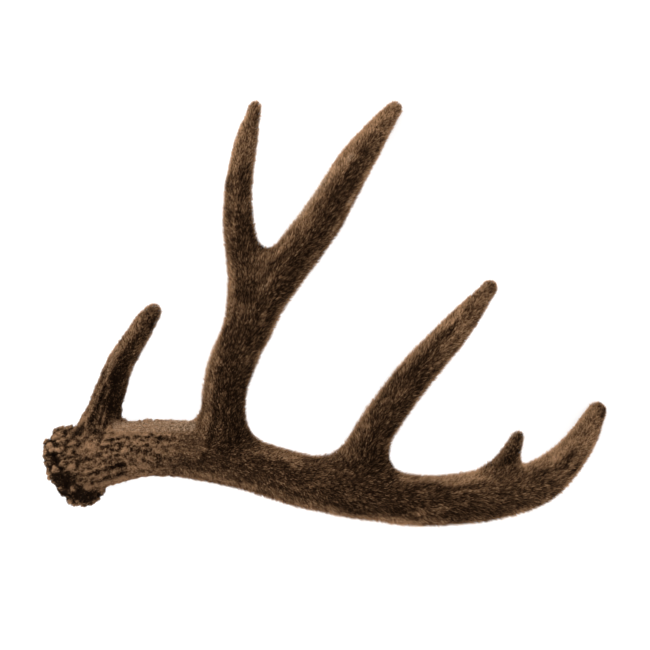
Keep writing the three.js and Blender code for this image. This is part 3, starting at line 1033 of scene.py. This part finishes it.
def floor_material(settings):
    """A pale table top that glows a little."""
    material, _, shader = new_material("pale_floor", 0.9, 0.2)
    shader.inputs["Base Color"].default_value = (0.6, 0.6, 0.6, 1)
    shader.inputs["Emission Color"].default_value = (1, 1, 1, 1)
    shader.inputs["Emission Strength"].default_value = settings.glow
    return material


# ---- The sawn seat ----


def make_seat(material, seed=21, rings=34, spokes=120, depth=4.5 * MM):
    """A thick disc of bone set into the foot of the beam, pitted and sunk at its rim."""
    first = np.cross(FOOT_WAY, (0, 0, 1))
    first /= np.linalg.norm(first)
    second = np.cross(FOOT_WAY, first)
    angle = np.arange(spokes) * 2 * math.pi / spokes
    middle = BURR_CENTRE - FOOT_WAY * SEAT_DEPTH
    rows = []
    for ring in range(1, rings + 1):
        share = ring / rings
        uneven = 1 + 0.03 * np.sin(3 * angle + 1) + 0.02 * np.sin(7 * angle)
        radius = SEAT_RADIUS * share * uneven
        spots = middle + np.outer(np.cos(angle) * radius, first)
        spots += np.outer(np.sin(angle) * radius, second)
        pit, _ = scatter(spots, 2.6 * MM, seed)
        sunk = 0.9 * fade(pit, 0.15, 0.42) + 0.3 * (1 + grain(spots, 6 * MM, seed))
        sunk += 1.6 * ease(share, 0.86, 1.0)
        rows.append(spots + FOOT_WAY * (sunk[:, None] + 0.2) * MM)
    rows.append(rows[-1] + FOOT_WAY * depth)
    verts = np.vstack([*rows, [middle + FOOT_WAY * 0.6 * MM], [middle + FOOT_WAY * depth]])
    faces = []
    for j in range(spokes):
        k = (j + 1) % spokes
        for i in range(len(rows) - 1):
            a, b = i * spokes + j, i * spokes + k
            faces.append((a, b, b + spokes, a + spokes))
        last = (len(rows) - 1) * spokes
        faces += [(len(verts) - 2, k, j), (len(verts) - 1, last + j, last + k)]
    mesh = bpy.data.meshes.new("seat_bone")
    mesh.from_pydata(verts.tolist(), [], faces)
    mesh.materials.append(material)
    with edited(mesh) as work:
        bmesh.ops.recalc_face_normals(work, faces=work.faces)
    mesh.shade_smooth()
    return new_object("pedicle_seat", mesh)


# ---- The stage ----


def make_stage(settings):
    floor_mesh = bpy.data.meshes.new("floor")
    with edited(floor_mesh) as work:
        bmesh.ops.create_circle(work, cap_ends=True, segments=96, radius=settings.floor)
    floor_mesh.materials.append(floor_material(settings))
    new_object("floor", floor_mesh)

    for number, (side, share) in enumerate(LAMPS, 1):
        lamp = bpy.data.lights.new(f"soft_lamp_{number}", "AREA")
        lamp.shape = "SQUARE"
        lamp.size = LAMP_SIZE
        lamp.energy = settings.lamps * share
        angle = math.radians(side)
        place = Vector((math.cos(angle), math.sin(angle), LAMP_RISE)) * LAMP_REACH
        holder = new_object(lamp.name, lamp)
        holder.location = place
        holder.rotation_euler = (-place).to_track_quat("-Z", "Y").to_euler()

    scene = bpy.context.scene
    world = bpy.data.worlds.new("studio")
    world.use_nodes = True
    background = world.node_tree.nodes["Background"]
    background.inputs["Color"].default_value = (1, 1, 1, 1)
    background.inputs["Strength"].default_value = settings.sky
    scene.world = world
    scene.view_settings.view_transform = "Standard"

    camera = bpy.data.cameras.new("camera")
    camera.lens = settings.lens
    camera.clip_end = 20.0
    scene.camera = new_object("camera", camera)
    scene.camera.location = (*CAMERA_SPOT, settings.camera_height)


# ---- Operators and panel ----


class ANTLER_OT_hide(Operator):
    """Grows the hide over the whole antler"""

    bl_idname = "antler.hide"
    bl_label = "Grow the hide"

    def execute(self, context):
        settings = context.scene.antler_hide
        hide = make_hide(settings)
        hide.data.materials.append(hide_material(settings))
        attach(hide, "root")
        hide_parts(*NODES)
        return {"FINISHED"}


class ANTLER_OT_seat(Operator):
    """Sets the sawn bone seat into the foot of the beam"""

    bl_idname = "antler.seat"
    bl_label = "Set the seat"

    def execute(self, context):
        seat = make_seat(bone_material())
        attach(seat, "root")
        return {"FINISHED"}


class ANTLER_OT_hair(Operator):
    """Grows a coat of short hair on each length of beam and each tine"""

    bl_idname = "antler.hair"
    bl_label = "Grow the hair"

    def execute(self, context):
        settings = context.scene.antler_hair
        hide = bpy.data.objects["velvet_hide"]
        material = hair_material(settings)
        tree = HairTree().tree
        for index, node in enumerate(NODES):
            coat = make_hair(hide, settings, material, tree, index, f"hair_{node}")
            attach(coat, "root")
            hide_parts(node)
        return {"FINISHED"}


class ANTLER_OT_stage(Operator):
    """Lays the pale floor and sets up the soft lamps and the camera"""

    bl_idname = "antler.stage"
    bl_label = "Set the stage"

    def execute(self, context):
        make_stage(context.scene.antler_stage)
        return {"FINISHED"}


class ANTLER_PT_panel(Panel):
    bl_label = "Antler in Velvet"
    bl_idname = "ANTLER_PT_panel"
    bl_space_type = "VIEW_3D"
    bl_region_type = "UI"
    bl_category = "Antler"

    def draw(self, context):
        for group, operators in (
            (context.scene.antler_stage, ["antler.stage"]),
            (context.scene.antler_hide, ["antler.hide", "antler.seat"]),
            (context.scene.antler_hair, ["antler.hair"]),
        ):
            box = self.layout.box()
            for name in type(group).__annotations__:
                box.prop(group, name)
            for operator in operators:
                box.operator(operator)


SETTINGS = {
    "antler_hide": HideSettings, "antler_hair": HairSettings, "antler_stage": StageSettings,
}
CLASSES = (
    *SETTINGS.values(),
    ANTLER_OT_hide, ANTLER_OT_seat, ANTLER_OT_hair, ANTLER_OT_stage, ANTLER_PT_panel,
)


def register():
    for cls in CLASSES:
        bpy.utils.register_class(cls)
    for name, group in SETTINGS.items():
        setattr(bpy.types.Scene, name, PointerProperty(type=group))


def unregister():
    for name in SETTINGS:
        delattr(bpy.types.Scene, name)
    for cls in reversed(CLASSES):
        bpy.utils.unregister_class(cls)


def main():
    register()
    bpy.ops.antler.stage()
    bpy.ops.antler.hide()
    bpy.ops.antler.seat()
    bpy.ops.antler.hair()


if __name__ == "__main__":
    main()
